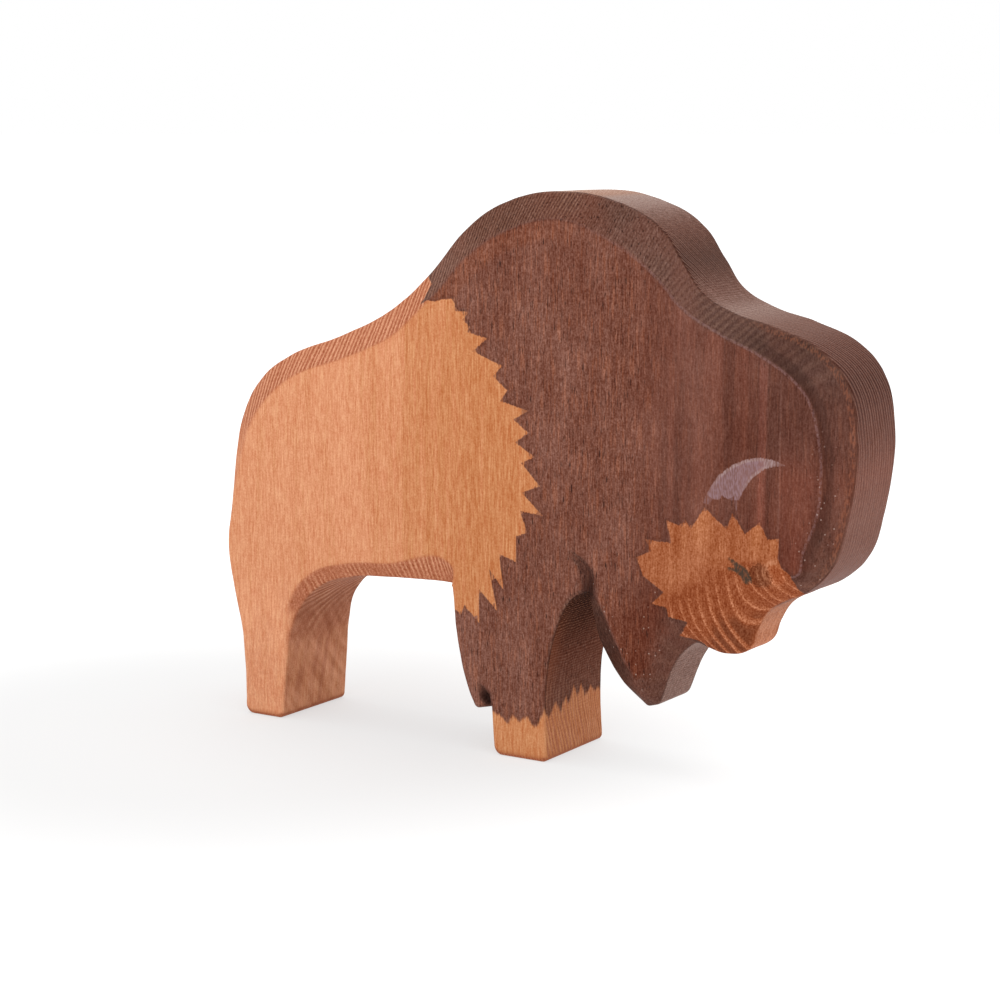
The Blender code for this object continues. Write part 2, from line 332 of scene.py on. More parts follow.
class WisentStain(bpy.types.PropertyGroup):
    """Colours brushed on the wood."""

    golden: colour_property("Golden Stain", "Light stain near the border", srgb(190, 121, 76))
    rosy: colour_property("Rosy Stain", "Light stain on the rump", srgb(213, 144, 105))
    cream: colour_property("Cream Fibres", "Fibres that took little light stain", srgb(236, 176, 132))
    rust: colour_property("Rust Stain", "Light stain on the snout and foot", srgb(155, 88, 54))
    soaked: colour_property("Soaked Light Stain", "Light stain on the grain's ends", srgb(160, 89, 61))
    pale: colour_property("Pale Rings", "Growth rings that shed the light stain", srgb(206, 145, 112))
    burnt: colour_property("Burnt Stain", "Light stain soaked deep into the snout", srgb(135, 67, 35))
    copper: colour_property("Copper Rings", "Growth rings on the snout", srgb(184, 116, 82))
    brown: colour_property("Brown Stain", "Dark stain", srgb(115, 71, 57))
    umber: colour_property("Umber Stain", "Dark stain on the head", srgb(98, 62, 52))
    ruddy: colour_property("Ruddy Stain", "Dark stain in reddish bands", srgb(117, 69, 55))
    ember: colour_property("Ember Fibres", "Fibres that show through the dark stain", srgb(158, 88, 56))
    bistre: colour_property("Bistre Stain", "Dark stain on the grain's ends", srgb(88, 55, 45))
    ashen: colour_property("Ashen Rings", "Growth rings that shed the dark stain", srgb(133, 96, 79))
    # This colour is used for dust specks, the horn's pale rim and the painted sheen: a painted
    # reflection of the bright studio on edges seen at a grazing angle
    dust_and_sheen: colour_property("Bloom", "Worn and dusty places", srgb(191, 173, 164))
    horn: colour_property("Horn Paint", "Thin paint of the horn", srgb(142, 112, 116))
    eye: colour_property("Eye Paint", "Paint of the eye", srgb(61, 52, 44))


class WisentStudio(bpy.types.PropertyGroup):
    """Floor, lights and camera."""

    floor: colour_property("Floor Colour", "Colour of the studio floor", (0.3, 0.3, 0.3, 1.0))
    floor_glow: number_property("Floor Glow", "Light the floor gives off near the toy", 0.59, 0.0)
    floor_radius: number_property(
        "Floor Radius", "Radius of the round floor", 30.0, 0.3, unit="LENGTH"
    )
    sky: number_property("Sky Light", "Brightness of the light from all round", 0.72, 0.0)
    above: number_property(
        "Overhead Light", "Power of the softbox above", 4.5, 0.0, unit="POWER"
    )
    front: number_property(
        "Front Light", "Power of the softbox in front", 2.2, 0.0, unit="POWER"
    )


# ---------------------------------------------------------------- the sawn outline

def place_of(landmark):
    return Vector((landmark.x, landmark.z))


def crease_marks(marks):
    """The crease's landmarks: the outline's, each moved inward by the width of its rim cut."""
    moved = []
    for index, here in enumerate(marks):
        before = (place_of(here) - place_of(marks[index - 1])).normalized()
        after = (place_of(marks[(index + 1) % len(marks)]) - place_of(here)).normalized()
        along = (before + after).normalized()
        inward = Vector((-along.y, along.x)) * here.width / along.dot(before)
        x, z = here.crease or place_of(here) + inward
        moved.append(here._replace(x=x, z=z))
    return moved


def knots_of(marks):
    """Knots of the closed curve: (landmark, place, side of an eased corner or nothing)."""
    knots = []
    for index, here in enumerate(marks):
        if not here.corner:
            knots.append((here, place_of(here), ""))
            continue
        following = marks[(index + 1) % len(marks)]
        for side, neighbour in (("entry", marks[index - 1]), ("exit", following)):
            away = (place_of(neighbour) - place_of(here)).normalized() * here.corner
            knots.append((here, place_of(here) + away, side))
    return knots


def smooth_loop(knots):
    """A closed Bezier curve through the knots, as one (start, handle, handle, end) for each span."""
    curve = bpy.data.curves.new("loop", "CURVE")
    curve.dimensions = "3D"
    spline = curve.splines.new("BEZIER")
    spline.bezier_points.add(len(knots) - 1)
    spline.use_cyclic_u = True
    for point, (_, place, side) in zip(spline.bezier_points, knots):
        point.co = (place.x, 0.0, place.y)
        point.handle_left_type = {"": "AUTO", "entry": "VECTOR", "exit": "FREE"}[side]
        point.handle_right_type = {"": "AUTO", "entry": "FREE", "exit": "VECTOR"}[side]
    for point, (landmark, place, side) in zip(spline.bezier_points, knots):
        pull = place.lerp(place_of(landmark), CORNER_PULL)
        if side == "entry":
            point.handle_right = (pull.x, 0.0, pull.y)
        elif side == "exit":
            point.handle_left = (pull.x, 0.0, pull.y)
    points = list(spline.bezier_points)
    spans = []
    for point, following in zip(points, points[1:] + points[:1]):
        ends = (point.co, point.handle_right, following.handle_left, following.co)
        spans.append([Vector((end.x, end.z, 0.0)) for end in ends])
    bpy.data.curves.remove(curve)
    return spans


def sections_along(marks, step, fine_step):
    """Sections square to the board, closer together where saw marks are left."""
    knots = knots_of(marks)
    outline = smooth_loop(knots)
    crease = smooth_loop(knots_of(crease_marks(marks)))
    sections = []
    along = 0.0
    for index, (outer, inner) in enumerate(zip(outline, crease)):
        here = knots[index][0]
        following = knots[(index + 1) % len(knots)][0]
        outer_length = (outer[3] - outer[0]).length
        length = max(outer_length, (inner[3] - inner[0]).length)
        spacing = fine_step if max(here.sawn, following.sawn) > PLAINLY_SAWN else step
        count = CORNER_SECTIONS if following is here else max(1, round(length / spacing))
        outer_points = interpolate_bezier(*outer, count + 1)
        inner_points = interpolate_bezier(*inner, count + 1)
        for number in range(count):
            share = number / count
            mixed = {
                name: getattr(here, name) + (getattr(following, name) - getattr(here, name)) * share
                for name in ("depth", "sawn", "edge", "cut", "lined", "sheen")
            }
            sections.append(Section(
                outer=outer_points[number].to_2d(),
                crease=inner_points[number].to_2d(),
                swell=Vector(here.swell).lerp(Vector(following.swell), share),
                along=along + outer_length * share,
                **mixed,
            ))
        along += outer_length
    return sections


# ---------------------------------------------------------------- the carved body

# Shares of the way across each part of the rim at which a section has its points
CREASE_STATIONS = (0.0, 0.5, 1.0)
CUT_STATIONS = tuple(number / 28 for number in range(1, 28))
ARRIS_STATIONS = (0.0, 0.25, 0.5, 0.75, 1.0)
EDGE_STATIONS = 22
ARRIS_RING = len(CREASE_STATIONS) + len(CUT_STATIONS) + 2

WANDERS = ((1.0, 7.0), (0.4, 2.2))  # the hand's unevenness: (share of its amount, wavelength in mm)
SAW_SHIFT = (0.4, 2.4)  # how far and over what length a saw mark strays, mm
MIRRORED = np.array((1.0, -1.0, 1.0))
BEYOND_ARRIS = 5.0   # the least distance from the arris that counts on a flat side, mm
SHADOW_SPREAD = 1.7  # how much wider than a knife cut its shadow is
SHADOW_DEPTH = 1.2   # a cut of this depth is in full shadow, mm
KNIFE_REACH = 2.5    # how far into the board a cut's shadow is seen, mm
TOOTH_HEIGHT, TOOTH_PITCH = 1.5, 4.6  # teeth of the stain's border across the sawn edge, mm
TOOTH_MARGIN = 3.2   # the flank's border has none of them this near a flat side, mm


def curved(start, bend, end, share):
    """A point of the three-point curve."""
    return start.lerp(bend, share).lerp(bend.lerp(end, share), share)


def rim_profile(section, crease_reach, arris_reach):
    """Points from the flat side over the rim cut to the sawn edge, each (x, z, depth) in mm."""
    start = Vector((*section.crease, 0.0))
    end = Vector((*section.outer, section.depth))
    corner = Vector((*section.outer, 0.0))
    across, down = section.swell
    bend = start.lerp(corner, across) + Vector((0.0, 0.0, section.depth * down))
    length = (end - start).length
    crease_reach = min(crease_reach, 0.3 * length)
    arris_reach = min(arris_reach, 0.35 * length)
    inward = (start - corner).normalized()
    flat = start + inward * crease_reach
    cut_from = crease_reach / length
    cut_to = 1.0 - arris_reach / length
    points = [curved(flat, start, curved(start, bend, end, cut_from), s) for s in CREASE_STATIONS]
    for station in CUT_STATIONS:
        points.append(curved(start, bend, end, cut_from + (cut_to - cut_from) * station))
    below = end + Vector((0.0, 0.0, arris_reach))
    points += [curved(curved(start, bend, end, cut_to), end, below, s) for s in ARRIS_STATIONS]
    return points


def distance_walked(profiles, half):
    """Distance in mm over the rim cut and half the sawn edge, for each section and ring."""
    points = np.array([[tuple(p) for p in profile] for profile in profiles])
    steps = np.linalg.norm(np.diff(points, axis=1), axis=2)
    walked = np.concatenate((np.zeros((len(points), 1)), steps.cumsum(1)), 1)
    share = np.arange(1, EDGE_STATIONS // 2 + 1) * 2 / EDGE_STATIONS
    return np.concatenate((walked, walked[:, -1:] + (half - points[:, -1, 2:]) * share), 1)


def spread_over(values, ring_from_side):
    """Values per section and ring, put in the order of the body's points."""
    count = len(values)
    return values[np.tile(np.arange(count), len(ring_from_side) // count), ring_from_side]


def signed_distance(points, polygon):
    """Distance in mm from each point to a closed polygon: negative inside it."""
    corners = np.array(polygon, float)
    nearest = np.full(len(points), np.inf)
    inside = np.zeros(len(points), bool)
    for here, following in zip(corners, np.roll(corners, -1, axis=0)):
        edge = following - here
        away = points - here
        share = np.clip(away @ edge / (edge @ edge), 0, 1)
        nearest = np.minimum(nearest, ((away - share[:, None] * edge) ** 2).sum(1))
        if edge[1]:
            crosses = (here[1] > points[:, 1]) != (following[1] > points[:, 1])
            crossing = here[0] + (points[:, 1] - here[1]) * edge[0] / edge[1]
            inside ^= crosses & (points[:, 0] < crossing)
    return np.where(inside, -1, 1) * np.sqrt(nearest)


def spread_along(polyline, spacing):
    """Points along a polyline, with its own corners among them."""
    spread = []
    for here, following in zip(polyline, polyline[1:]):
        here, following = Vector(here), Vector(following)
        count = max(1, round((following - here).length / spacing))
        spread += [here.lerp(following, number / count) for number in range(count)]
    return spread + [Vector(polyline[-1])]


def closed(polygon):
    return polygon + polygon[:1]


def grid_points(low, high, spacing):
    """A staggered grid over a rectangle."""
    rows = np.arange(low[1], high[1], spacing * math.sqrt(3) / 2)
    columns = np.arange(low[0], high[0], spacing)
    x, z = np.meshgrid(columns, rows)
    x = x + np.where(np.arange(len(rows)) % 2, spacing / 2, 0.0)[:, None]
    return np.column_stack((x.ravel(), z.ravel()))


def near_any(points, others, reach):
    """Which points lie within reach of any of the others."""
    close = np.zeros(len(points), bool)
    for other in others:
        close |= ((points - other) ** 2).sum(1) < reach * reach
    return close


def side_triangles(boundary, shape):
    """Triangles of one flat side: (points past the boundary's own, triangles of vertex numbers).

    The borders of the stain are edges of the triangles, so that they stay crisp.
    """
    loop = np.array(boundary)
    points = list(boundary)
    edges = []
    drawn = []
    for polyline in (FLANK_BORDER, closed(SNOUT_PATCH), closed(HORN_CRESCENT), closed(EYE_STROKE)):
        spread = np.array([tuple(p) for p in spread_along(polyline, 0.8)])
        kept = signed_distance(spread, loop) < -0.5
        for number, place in enumerate(spread):
            if not kept[number]:
                continue
            if number and kept[number - 1]:
                edges.append((len(points) - 1, len(points)))
            points.append(tuple(place))
            drawn.append(place)
    fine_spacing = shape.carving_grid / MM
    fields = [(grid_points(loop.min(0), loop.max(0), shape.grid / MM), 0.45)]
    for path in KNIFE_CUTS:
        corners = np.array(path)[:, :2]
        low, high = corners.min(0) - 2.5, corners.max(0) + 2.5
        coarse, keep_off = fields[0]
        outside = ((coarse < low) | (coarse > high)).any(1)
        fields[0] = (coarse[outside], keep_off)
        fields.append((grid_points(low, high, fine_spacing), fine_spacing * 0.6))
    for field, keep_off in fields:
        field = field[signed_distance(field, loop) < -keep_off]
        field = field[~near_any(field, drawn, keep_off)]
        points += [tuple(p) for p in field]
    ring = [tuple(range(len(boundary)))]
    placed, _, triangles, origins, _, _ = delaunay_2d_cdt(
        [Vector(p) for p in points], edges, ring, 1, 1e-6
    )
    number_of = {}
    added = []
    for index, (place, sources) in enumerate(zip(placed, origins)):
        on_loop = [source for source in sources if source < len(boundary)]
        if on_loop:
            number_of[index] = on_loop[0]
        else:
            number_of[index] = len(boundary) + len(added)
            added.append(tuple(place))
    faces = [tuple(number_of[corner] for corner in triangle) for triangle in triangles]
    return np.array(added), [face for face in faces if len(set(face)) == len(face)]


def knife_depth(places, spread=1.0):
    """How deep the knife cuts are at each (x, z), in mm; `spread` widens them."""
    depth = np.zeros(len(places))
    for path in KNIFE_CUTS:
        path = np.array(path)
        closest = np.full(len(places), np.inf)
        cut = np.zeros(len(places))
        for here, following in zip(path, path[1:]):
            edge = following[:2] - here[:2]
            share = np.clip((places - here[:2]) @ edge / (edge @ edge), 0, 1)[:, None]
            away = np.linalg.norm(places - here[:2] - share * edge, axis=1)
            reach, full = (here[2:] + (following[2:] - here[2:]) * share).T
            slope = np.clip(1 - away / (reach * spread), 0, 1)
            cut = np.where(away < closest, full * slope * slope * (3 - 2 * slope), cut)
            closest = np.minimum(closest, away)
        depth = np.maximum(depth, cut)
    return depth


def uneven(places, amount, wavelength):
    """A smooth wandering offset for each place, in mm."""
    return np.array([noise.noise_vector(Vector(p) / wavelength) for p in places]) * amount


def foot_distance(points):
    """Signed distance to the fore foot's border, measured on the unrolled foot: negative below it."""
    x, y, z = points.T
    width = FOOT_FRONT_X - FOOT_REAR_X
    front = [(width + away, height) for away, height in FOOT_FRONT]
    far = [(2 * width + THICKNESS_MM - away, height) for away, height in reversed(FOOT_NEAR)]
    total = 2 * (width + THICKNESS_MM)
    low, high = -30.0, total + 30.0
    polygon = FOOT_NEAR[:-1] + [(width, FOOT_NEAR[-1][1])] + front + far
    polygon += [(total, FOOT_SEAM), (high, FOOT_SEAM), (high, low), (low, low), (low, FOOT_SEAM)]
    past_rear = x - FOOT_REAR_X
    unrolled = np.where(
        np.abs(y) > HALF_MM - 0.7,
        np.where(y < 0, past_rear, 2 * width + THICKNESS_MM - past_rear),
        np.where(past_rear > width / 2, width + HALF_MM + y, total - HALF_MM - y),
    )
    distance = signed_distance(np.column_stack((unrolled, z)), polygon)
    here = (x > FOOT_REAR_X - 1.5) & (x < FOOT_FRONT_X + 2.5) & (z < FOOT_TOP)
    return np.where(here, distance, FOOT_TOP)


def rings_of(profiles, half):
    """Rings of points round the outline, over the near rim cut, the sawn edge and the far rim cut."""
    count = len(profiles[0])
    rings = [np.array([(p[i].x, p[i].z - half, p[i].y) for p in profiles]) for i in range(count)]
    last = rings[-1]
    across = [last + (last * MIRRORED - last) * n / EDGE_STATIONS for n in range(1, EDGE_STATIONS)]
    return rings + across + [ring * MIRRORED for ring in reversed(rings)]


def rim_values(sections, profiles, half, from_side):
    """The values that the wood reads at each point of the rings."""
    walked = distance_walked(profiles, half)
    past_crease = spread_over(walked - walked[:, 1:2], from_side)
    past_arris = spread_over(walked - walked[:, ARRIS_RING:ARRIS_RING + 1], from_side)
    # the tones change over a few tenths of a millimetre at the arris and at the crease
    on_edge = np.clip(past_arris / 0.6 + 0.5, 0, 1)
    on_cut = np.clip(past_crease / 0.4, 0, 1)
    repeats = len(from_side) // len(sections)
    edge, cut, sawn, lined, sheen, along = (
        np.tile([getattr(s, name) for s in sections], repeats)
        for name in ("edge", "cut", "sawn", "lined", "sheen", "along")
    )
    creased = np.tile([min(1.0, 2.5 * s.swell.y) * (s.depth > 0.8) for s in sections], repeats)
    return {
        "rim": np.clip(from_side / 2.0, 0, 1),
        "along": along,
        "past_crease": past_crease,
        "past_arris": past_arris,
        "creased": creased,
        # the tone holds the stain's lightness, with painted shade and light from `edge` and `cut`
        "stain_tone": 1 + (cut - 1) * on_cut + (edge - cut) * on_edge,
        "lined": lined,
        "sheen": sheen * on_edge,
        "sawn": sawn * on_edge,
    }


def carve_body(shape):
    """The body's points, faces and the values that its wood reads."""
    noise.seed_set(HAND_SEED)
    sections = sections_along(OUTLINE, shape.step / MM, shape.fine_step / MM)
    half = shape.thickness / MM / 2
    profiles = [rim_profile(s, shape.crease / MM, shape.arris / MM) for s in sections]
    count = len(sections)
    rings = rings_of(profiles, half)
    points = np.concatenate(rings)
    ring_number = np.repeat(np.arange(len(rings)), count)
    from_side = np.minimum(ring_number, len(rings) - 1 - ring_number)
    values = rim_values(sections, profiles, half, from_side)

    # the hand's unevenness, which spares the soles and is least at the crease
    standing = np.clip(points[:, 2] / 2.0, 0, 1)[:, None]
    amount = shape.unevenness / MM
    wander = sum(uneven(points, amount * share, wavelength) for share, wavelength in WANDERS)
    points = points + wander * standing * (0.25 + 0.75 * values["rim"])[:, None]
    strayed = values.pop("along") + uneven(points * (1.0, 0.6, 1.0), *SAW_SHIFT)[:, 0]
    ridge = 0.5 + 0.5 * np.cos(2 * math.pi * strayed / (shape.saw_mark_spacing / MM))
    values["saw_marks"] = 1 - ridge
    outward = np.tile([(s.outer - s.crease).normalized() for s in sections], (len(rings), 1))
    cut = ridge * values["sawn"] * shape.saw_mark_depth / MM
    points[:, (0, 2)] -= outward * cut[:, None]

    faces = [
        (base + number, base + following, base + count + following, base + count + number)
        for base in range(0, len(points) - count, count)
        for number, following in enumerate((*range(1, count), 0))
    ]
    boundary = [Vector((x, z)) for x, _, z in points[:count]]
    added, triangles = side_triangles(boundary, shape)
    far_ring, near_start = len(points) - count, len(points)
    for ring_start, start in ((0, near_start), (far_ring, near_start + len(added))):
        for triangle in triangles:
            corners = [ring_start + c if c < count else start + c - count for c in triangle]
            faces.append(tuple(reversed(corners) if ring_start else corners))
    # both flat sides share one set of triangles, so the far boundary takes the near one's places
    points[far_ring:] = points[:count] * MIRRORED
    for side in (-half, half):
        flat = np.column_stack((added[:, 0], np.full(len(added), side), added[:, 1]))
        points = np.concatenate((points, flat))
    inside = signed_distance(added, boundary)
    none = inside * 0
    on_flat = {"past_crease": inside, "past_arris": inside - BEYOND_ARRIS, "stain_tone": none + 1}
    for name, numbers in values.items():
        flat = on_flat.get(name, none)
        values[name] = np.concatenate((numbers, flat, flat))

    places = points[:, (0, 2)]
    floor_depth = knife_depth(places)
    limit = half - floor_depth
    from_middle = np.abs(points[:, 1])
    cut_here = (floor_depth > 0) & (from_middle > limit)
    shadow = np.where(from_middle > half - KNIFE_REACH, knife_depth(places, SHADOW_SPREAD), 0)
    points[:, 1] = np.where(cut_here, np.sign(points[:, 1]) * limit, points[:, 1])
    # painted shadow: the knife cuts' shadow, wider than the cuts, is kept as the `carved` value that
    # the wood darkens by
    values["carved"] = np.clip(shadow / SHADOW_DEPTH, 0, 1)

    teeth = np.abs(((points[:, 1] / TOOTH_PITCH) % 1) * 2 - 1) - 0.5
    teeth *= values.pop("rim") * TOOTH_HEIGHT * (np.abs(points[:, 1]) < half - TOOTH_MARGIN)
    flank = signed_distance(places, FLANK_BORDER + FLANK_BEYOND) + teeth
    snout = signed_distance(places, SNOUT_PATCH)
    values["light_border"] = np.minimum(np.minimum(flank, snout), foot_distance(points))
    values["horn_border"] = signed_distance(places, HORN_CRESCENT)
    values["eye_border"] = signed_distance(places, EYE_STROKE)
    return points, faces, values


def mesh_from(name, points, faces, values):
    """A smooth-shaded mesh with one named value per point for each attribute."""
    mesh = bpy.data.meshes.new(name)
    mesh.from_pydata([tuple(p) for p in points * MM], [], faces)
    bm = bmesh.new()
    bm.from_mesh(mesh)
    bmesh.ops.recalc_face_normals(bm, faces=bm.faces[:])
    bm.to_mesh(mesh)
    bm.free()
    mesh.polygons.foreach_set("use_smooth", [True] * len(mesh.polygons))
    for attribute_name, numbers in values.items():
        attribute = mesh.attributes.new(attribute_name, "FLOAT", "POINT")
        attribute.data.foreach_set("value", np.asarray(numbers, np.float32))
    return mesh


# ---------------------------------------------------------------- nodes

class Nodes:
    """Adds nodes to a tree. A value is a number, a colour or another node's output."""

    def __init__(self, tree):
        self.tree = tree

    def put(self, kind, sockets=None, **settings):
        node = self.tree.nodes.new(kind)
        for name, value in settings.items():
            setattr(node, name, value)
        for name, value in (sockets or {}).items():
            if isinstance(value, bpy.types.NodeSocket):
                self.tree.links.new(value, node.inputs[name])
            else:
                node.inputs[name].default_value = value
        return node

    def calc(self, operation, *values):
        return self.put("ShaderNodeMath", dict(enumerate(values)), operation=operation).outputs[0]

    def product(self, *values):
        return reduce(partial(self.calc, "MULTIPLY"), values)

    def total(self, *values):
        return reduce(partial(self.calc, "ADD"), values)

    def larger(self, first, second):
        return self.calc("MAXIMUM", first, second)

    def inverse(self, mask):
        return self.calc("SUBTRACT", 1.0, mask)

    def vector(self, operation, *values, output=0):
        sockets = dict(enumerate(values))
        return self.put("ShaderNodeVectorMath", sockets, operation=operation).outputs[output]

    def measure(self, operation, *values):
        """A number taken from vectors: a length, a distance or a dot product."""
        return self.vector(operation, *values, output="Value")

    def shade(self, colour, tone):
        """A colour made darker or lighter by a number."""
        sockets = {0: colour, "Scale": tone}
        return self.put("ShaderNodeVectorMath", sockets, operation="SCALE").outputs[0]

    def blend(self, factor, first, second):
        """A colour between two others."""
        sockets = {0: factor, 6: first, 7: second}
        return self.put("ShaderNodeMix", sockets, data_type="RGBA").outputs[2]

    def between(self, factor, low, high):
        """A number between two others."""
        return self.put("ShaderNodeMix", {0: factor, 2: low, 3: high}, data_type="FLOAT").outputs[0]

    def ease(self, value, low, high, to_low=0.0, to_high=1.0):
        """Maps a range smoothly to another, held at its ends."""
        return self.put("ShaderNodeMapRange", {
            "Value": value, "From Min": low, "From Max": high, "To Min": to_low, "To Max": to_high,
        }, interpolation_type="SMOOTHSTEP").outputs["Result"]

    def strip(self, value, middle, half):
        """A mask that is full at the middle of a strip and fades to its edges."""
        away = self.calc("ABSOLUTE", self.calc("SUBTRACT", value, middle))
        return self.ease(away, half, half * 0.4)

    def swing(self, value, amount, around=0.0):
        """A number that swings round a middle as the noise does round a half."""
        return self.calc("MULTIPLY_ADD", self.calc("SUBTRACT", value, 0.5), amount, around)

    def swings(self, *noises):
        """The sum of several swings, each (noise, amount)."""
        return reduce(lambda around, noise: self.swing(*noise, around), noises, 0.0)

    def cloud(self, place, scale, detail=2.0, roughness=0.5, distortion=0.0):
        return self.put("ShaderNodeTexNoise", {
            "Vector": place, "Scale": scale, "Detail": detail, "Roughness": roughness,
            "Distortion": distortion,
        }).outputs[0]

    def value_of(self, attribute):
        return self.put("ShaderNodeAttribute", attribute_name=attribute).outputs["Fac"]


class Group(Nodes):
    """A shader node group; an input is a number by its default, or a vector where that is None."""

    def __init__(self, name, inputs, outputs):
        super().__init__(bpy.data.node_groups.new(name, "ShaderNodeTree"))
        new_socket = self.tree.interface.new_socket
        for socket_name, default in inputs.items():
            kind = "NodeSocketVector" if default is None else "NodeSocketFloat"
            socket = new_socket(socket_name, in_out="INPUT", socket_type=kind)
            if default is not None:
                socket.default_value = default
        for socket_name in outputs:
            new_socket(socket_name, in_out="OUTPUT", socket_type="NodeSocketFloat")
        given = self.put("NodeGroupInput").outputs
        self.given = [given[socket_name] for socket_name in inputs]
        self.out = self.put("NodeGroupOutput").inputs

    def give(self, name, value):
        self.tree.links.new(value, self.out[name])


def growth_rings_group():
    """Upright shells round the heart, and how far each surface leans across the grain."""
    group = Group(
        "Growth Rings",
        {"Place": None, "Heart": None, "Lean": 0.12, "Spacing": 1.5},
        ("Latewood", "Year Wave", "Fine Wave", "End Grain"),
    )
    place, heart, lean, spacing = group.given
    height = group.put("ShaderNodeSeparateXYZ", {0: place}).outputs["Z"]
    moved = group.put("ShaderNodeCombineXYZ", {"Y": group.product(height, lean)}).outputs[0]
    from_heart = group.vector("SUBTRACT", group.vector("ADD", place, moved), heart)
    radius = group.measure("LENGTH", group.vector("MULTIPLY", from_heart, (1.0, 1.0, 0.0)))
    slow = group.vector("MULTIPLY", place, (1.0, 1.0, 0.3))
    for scale, amount in ((0.035, 2.5), (0.35, 0.2)):
        radius = group.swing(group.cloud(slow, scale, 1.0), amount, radius)
    # the tree's first years are wide and those of its middle age are narrow
    years = group.calc("DIVIDE", radius, spacing)
    years = group.calc("MULTIPLY_ADD", group.calc("MINIMUM", radius, 64.0), -0.28, years)
    years = group.total(years, group.ease(radius, 60.0, 120.0, 0.0, 22.0))
    sockets = {"W": years, "Scale": 0.6, "Detail": 1.0}
    uneven_years = group.put("ShaderNodeTexNoise", sockets, noise_dimensions="1D").outputs[0]
    years = group.calc("MULTIPLY_ADD", uneven_years, 0.6, years)
    profile = group.put("ShaderNodeValToRGB", {"Fac": group.calc("FRACT", years)})
    ramp = profile.color_ramp
    ramp.interpolation = "EASE"
    for position, tone in ((0.0, 0.0), (0.5, 0.05), (0.7, 0.5), (0.8, 1.0), (0.92, 0.1)):
        element = ramp.elements[0] if position == 0.0 else ramp.elements.new(position)
        element.color = (tone, tone, tone, 1.0)
    ramp.elements.remove(ramp.elements[-1])
    group.give("Latewood", profile.outputs["Color"])
    for name, lines_a_year in (("Year Wave", 1.0), ("Fine Wave", 1.5)):
        wave = group.calc("COSINE", group.product(years, 2 * math.pi * lines_a_year))
        group.give(name, group.calc("MULTIPLY_ADD", wave, 0.5, 0.5))
    normal = group.put("ShaderNodeNewGeometry").outputs["Normal"]
    upright = group.measure("DOT_PRODUCT", normal, (0.0, 0.0, 1.0))
    group.give("End Grain", group.calc("ABSOLUTE", upright))
    return group.tree


def fibres_group():
    """Upright fibres: noise drawn out along the grain."""
    group = Group(
        "Wood Fibres", {"Place": None, "Width": 0.5, "Length": 10.0, "Detail": 2.0}, ["Fibre"]
    )
    place, width, length, detail = group.given
    across, along = (group.calc("DIVIDE", 1.0, size) for size in (width, length))
    stretch = group.put("ShaderNodeCombineXYZ", {"X": across, "Y": across, "Z": along}).outputs[0]
    group.give("Fibre", group.cloud(group.vector("MULTIPLY", place, stretch), 1.0, detail, 0.55))
    return group.tree


def brushed_edge_group():
    """Where a brushed colour stops: it runs a little along the fibres."""
    group = Group(
        "Brushed Edge", {"Distance": 0.0, "Fibre": 0.5, "Run": 0.5, "Softness": 0.15}, ["Outside"]
    )
    distance, fibre, run, softness = group.given
    low = group.product(softness, -1.0)
    group.give("Outside", group.ease(group.swing(fibre, run, distance), low, softness))
    return group.tree


class Board(Nodes):
    """The board's own grain, and where a point lies on the body, as values that the stains read."""

    def __init__(self, tree, wood):
        super().__init__(tree)
        self.fibres, self.brushed_edge = fibres_group(), brushed_edge_group()
        object_place = self.put("ShaderNodeTexCoord").outputs["Object"]
        self.place = self.vector("MULTIPLY", object_place, (1 / MM, 1 / MM, 1 / MM))
        axes = self.put("ShaderNodeSeparateXYZ", {0: self.place}).outputs
        self.along, self.across, self.height = axes
        self.hair, self.strand = self.fibre(0.32, 1.1, 0.5), self.fibre(0.3, 2.6, 0.5)
        self.thread, self.band = self.fibre(0.5, 7), self.fibre(2.6, 60)
        self.patch = self.fibre(8, 14)
        self.grit = self.cloud(self.place, 3.0, 0.5)
        self.grain = self.swings((self.thread, 0.25), (self.grit, 0.5), (self.hair, 0.5))
        rings = self.put("ShaderNodeGroup", {
            "Place": self.place, "Heart": (wood.heart_x / MM, wood.heart_y / MM, 0.0),
            "Lean": wood.heart_lean, "Spacing": wood.ring_spacing / MM,
        }, node_tree=growth_rings_group())
        self.latewood, self.year_wave, self.fine_wave, self.end_grain = rings.outputs
        self.border = self.value_of("light_border")
        self.past_crease, self.past_arris = self.value_of("past_crease"), self.value_of("past_arris")
        self.sawn, self.carved = self.value_of("sawn"), self.value_of("carved")
        self.on_edge = self.ease(self.past_arris, -0.2, 0.3)
        leaning = self.ease(self.end_grain, 0.02, 0.3)
        self.lined = self.between(self.on_edge, leaning, self.value_of("lined"))
        self.soaked = self.between(self.on_edge, leaning, self.product(leaning, 0.8))
        self.snout, self.head = self.x(14, 22), self.x(26, 42)
        run, softness = self.z(20, 12, 0.6, 1.5), self.z(20, 12, 0.12, 0.4)
        self.dark = self.brushed(self.border, self.thread, run, softness)

    def fibre(self, width, length, detail=1.0, place=None):
        sockets = {"Place": place or self.place, "Width": width, "Length": length, "Detail": detail}
        return self.put("ShaderNodeGroup", sockets, node_tree=self.fibres).outputs[0]

    def brushed(self, distance, fibre, run, softness):
        """A mask outside a brushed border."""
        sockets = {"Distance": distance, "Fibre": fibre, "Run": run, "Softness": softness}
        return self.put("ShaderNodeGroup", sockets, node_tree=self.brushed_edge).outputs[0]

    def x(self, low, high, to_low=0.0, to_high=1.0):
        """A mask that rises or falls along the body, in mm."""
        return self.ease(self.along, low, high, to_low, to_high)

    def z(self, low, high, to_low=0.0, to_high=1.0):
        """A mask that rises or falls with the height, in mm."""
        return self.ease(self.height, low, high, to_low, to_high)


